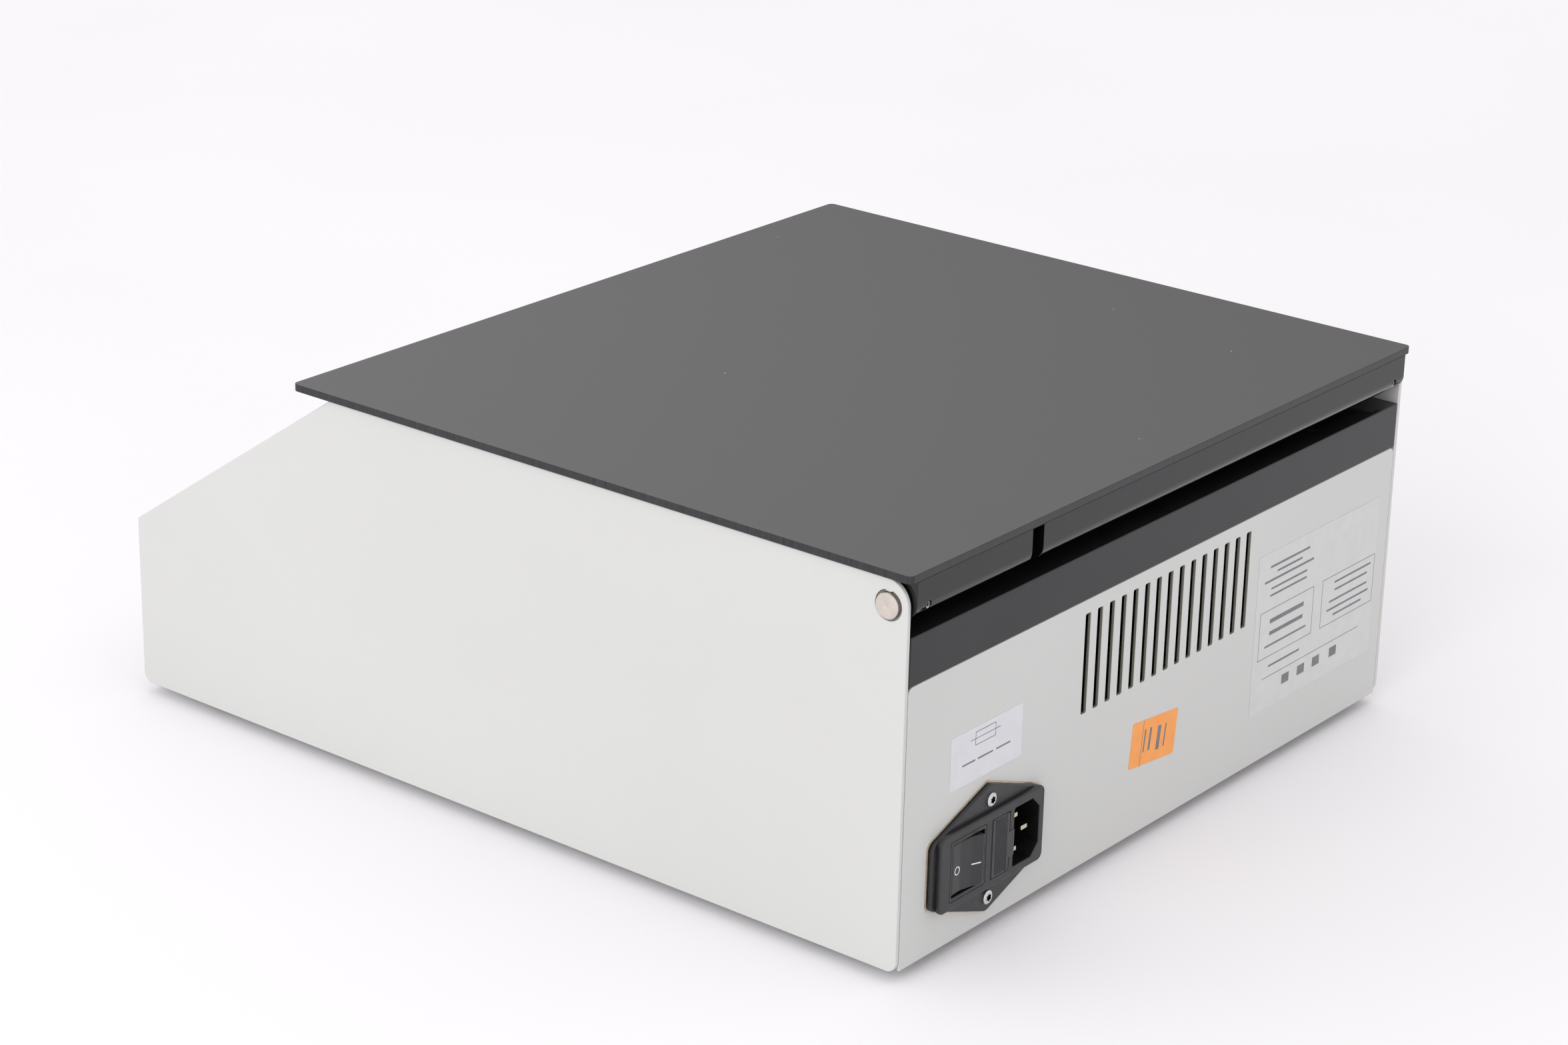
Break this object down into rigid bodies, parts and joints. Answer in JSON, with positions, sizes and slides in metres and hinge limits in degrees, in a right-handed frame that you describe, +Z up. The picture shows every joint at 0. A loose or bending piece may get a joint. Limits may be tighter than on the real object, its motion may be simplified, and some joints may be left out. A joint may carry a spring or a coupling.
{
  "type": "microplate incubator shaker",
  "caption": "Benchtop heated microplate shaker: low sheet-metal case with a sloped front, black hinged lid over a shaken nest, and a rear mains inlet with switch.",
  "frame": {"origin": "centre of the overall footprint, on the surface under the feet", "axes": "+X to the right seen from the front, +Y to the rear panel, +Z up"},
  "size_m": [0.343, 0.4062, 0.1613],
  "materials": {
    "case_paint": "satin light grey powder coat",
    "deck_paint": "gloss black coat",
    "lid_acrylic": "polished black acrylic sheet",
    "rail_acrylic": "polished black acrylic bar",
    "frame_plastic": "satin black",
    "inlet_plastic": "fine grained black thermoplastic",
    "nickel": "nickel plate",
    "steel": "turned steel",
    "aluminium": "clear anodised",
    "nest_anodised": "black anodised",
    "rubber": "black rubber",
    "silicone": "dark silicone",
    "heater_silicone": "red-brown silicone mat",
    "foam": "closed-cell foam",
    "motor_paint": "black",
    "board": "solder-masked circuit board with parts",
    "fuse_glass": "clear glass tube",
    "display_glass": "clear window over a grey display",
    "display_dark": "display module",
    "button_green": "satin",
    "button_red": "satin",
    "button_grey": "satin",
    "label": "plain sticker"
  },
  "bodies": {
    "case": {"side_panel_right": "case_paint", "side_panel_left": "case_paint", "base_pan": "case_paint", "rear_panel": "case_paint", "front_fascia": "case_paint", "deck": "deck_paint", "feet": "rubber", "case_screws": "steel", "hinge_bushes": "inlet_plastic", "lid_sensor": "inlet_plastic", "chamber_tub": "aluminium", "heater_mat": "heater_silicone", "chamber_foam": "foam", "temperature_probe": "nickel", "drive_bridge": "aluminium", "bridge_posts": "steel", "idler_housings": "aluminium", "fixed_bearings": "steel", "drive_motor": "motor_paint", "drive_belt": "rubber", "inlet_plate": "nickel", "inlet_body": "inlet_plastic", "inlet_pins": "nickel", "inlet_screws": "nickel", "power_supply": "board", "control_board": "board", "display_module": "display_dark", "control_bezel": "lid_acrylic", "display_window": "display_glass", "rear_labels": "label"},
    "lid": {"lid_plate": "lid_acrylic", "hinge_rail": "rail_acrylic", "hinge_pins": "nickel", "set_screws": "steel", "lid_frame": "frame_plastic", "lid_foam": "foam", "lid_liner": "aluminium", "lid_seal": "silicone", "lid_magnet": "nickel"},
    "crank": {"drive_shaft": "steel", "main_pulley": "steel", "counterweight": "steel"},
    "table": {"shaker_table": "aluminium", "table_bearings": "steel", "plate_nest": "nest_anodised", "plate_springs": "nickel"},
    "idler_1": {"idler_crank_1": "steel"},
    "idler_2": {"idler_crank_2": "steel"},
    "idler_3": {"idler_crank_3": "steel"},
    "idler_4": {"idler_crank_4": "steel"},
    "motor_rotor": {"motor_pulley": "steel"},
    "rocker": {"rocker_switch": "inlet_plastic"},
    "fuse_holder": {"fuse_drawer": "inlet_plastic", "fuses": "fuse_glass"},
    "start_key": {"start_button": "button_green"},
    "stop_key": {"stop_button": "button_red"},
    "up_key": {"up_button": "button_grey"},
    "down_key": {"down_button": "button_grey"}
  },
  "joints": [
    {"name": "lid_hinge", "type": "hinge", "parent": "case", "child": "lid", "pos_m": [0, 0.18825, 0.1476], "axis": [-1, 0, 0], "range_deg": [0, 90]},
    {"name": "crank_spin", "type": "hinge", "parent": "case", "child": "crank", "pos_m": [0, 0.04285, 0.06], "axis": [0, 0, 1], "continuous": true},
    {"name": "table_orbit", "type": "hinge", "parent": "crank", "child": "table", "pos_m": [0.0015, 0.04285, 0.1], "axis": [0, 0, 1], "continuous": true},
    {"name": "idler_spin_1", "type": "hinge", "parent": "case", "child": "idler_1", "pos_m": [-0.095, -0.01915, 0.07], "axis": [0, 0, 1], "continuous": true},
    {"name": "idler_spin_2", "type": "hinge", "parent": "case", "child": "idler_2", "pos_m": [-0.095, 0.10485, 0.07], "axis": [0, 0, 1], "continuous": true},
    {"name": "idler_spin_3", "type": "hinge", "parent": "case", "child": "idler_3", "pos_m": [0.095, -0.01915, 0.07], "axis": [0, 0, 1], "continuous": true},
    {"name": "idler_spin_4", "type": "hinge", "parent": "case", "child": "idler_4", "pos_m": [0.095, 0.10485, 0.07], "axis": [0, 0, 1], "continuous": true},
    {"name": "motor_spin", "type": "hinge", "parent": "case", "child": "motor_rotor", "pos_m": [0.075, 0.04285, 0.06], "axis": [0, 0, 1], "continuous": true},
    {"name": "rocker_tilt", "type": "hinge", "parent": "case", "child": "rocker", "pos_m": [0.133, 0.19505, 0.0374], "axis": [0, 0, 1], "range_deg": [0, 18]},
    {"name": "fuse_slide", "type": "slide", "parent": "case", "child": "fuse_holder", "axis": [0, 1, 0], "range_m": [0, 0.016]},
    {"name": "start_press", "type": "slide", "parent": "case", "child": "start_key", "axis": [0, 0.5646, -0.8254], "range_m": [0, 0.001], "stiffness_N_per_m": 800, "springref_m": -0.0004},
    {"name": "stop_press", "type": "slide", "parent": "case", "child": "stop_key", "axis": [0, 0.5646, -0.8254], "range_m": [0, 0.001], "stiffness_N_per_m": 800, "springref_m": -0.0004},
    {"name": "up_press", "type": "slide", "parent": "case", "child": "up_key", "axis": [0, 0.5646, -0.8254], "range_m": [0, 0.001], "stiffness_N_per_m": 800, "springref_m": -0.0004},
    {"name": "down_press", "type": "slide", "parent": "case", "child": "down_key", "axis": [0, 0.5646, -0.8254], "range_m": [0, 0.001], "stiffness_N_per_m": 800, "springref_m": -0.0004}
  ],
  "couplings": [
    {"joint": "table_orbit", "follows": "crank_spin", "ratio": -1},
    {"joint": "idler_spin_1", "follows": "crank_spin", "ratio": 1},
    {"joint": "idler_spin_2", "follows": "crank_spin", "ratio": 1},
    {"joint": "idler_spin_3", "follows": "crank_spin", "ratio": 1},
    {"joint": "idler_spin_4", "follows": "crank_spin", "ratio": 1},
    {"joint": "motor_spin", "follows": "crank_spin", "ratio": 4}
  ]
}
